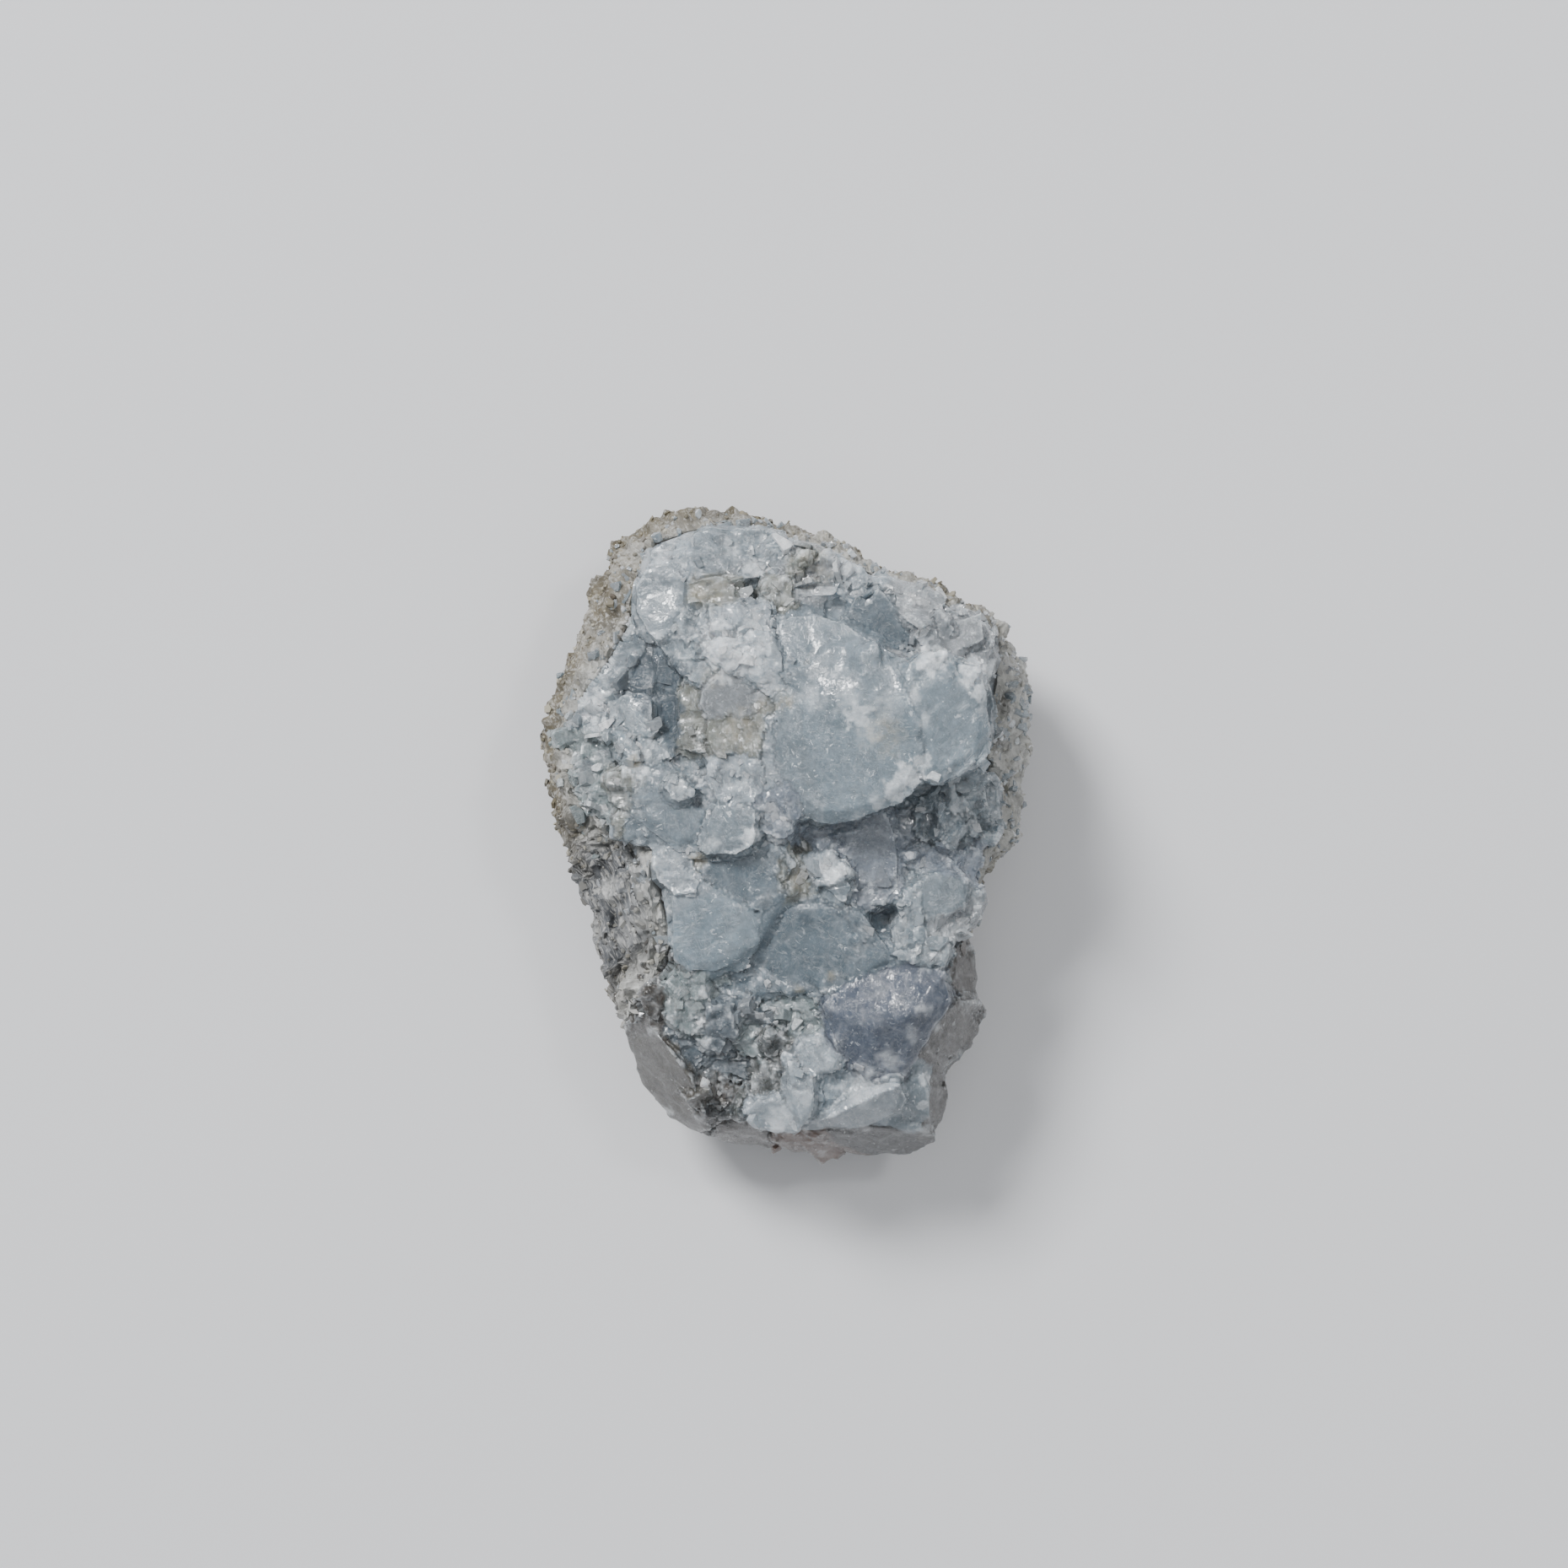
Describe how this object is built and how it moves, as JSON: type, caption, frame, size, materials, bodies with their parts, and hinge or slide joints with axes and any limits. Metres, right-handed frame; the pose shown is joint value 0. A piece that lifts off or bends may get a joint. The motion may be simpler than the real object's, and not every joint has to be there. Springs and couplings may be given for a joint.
{
  "type": "celestite crystal cluster",
  "caption": "Loose piece of geode lining: blue-grey cleaved celestite crystals, grown together, filling a hollow rind of grey-beige rock.",
  "frame": {"origin": "middle of the box around the piece, on the flat cut that it rests on", "axes": "+Z up, crystals facing up; +Y along the longest way, towards the broad end; +X to the right seen from above with +Y up"},
  "size_m": [0.0298, 0.0407, 0.0177],
  "materials": {
    "rind_rock": "rough, granular, grey-beige with olive and brown specks",
    "celestite": "glassy to pearly on cleaved faces, cloudy blue-grey, translucent, white where scuffed"
  },
  "bodies": {
    "root": {"matrix_rind": "rind_rock", "celestite_crystals": "celestite"}
  },
  "joints": []
}
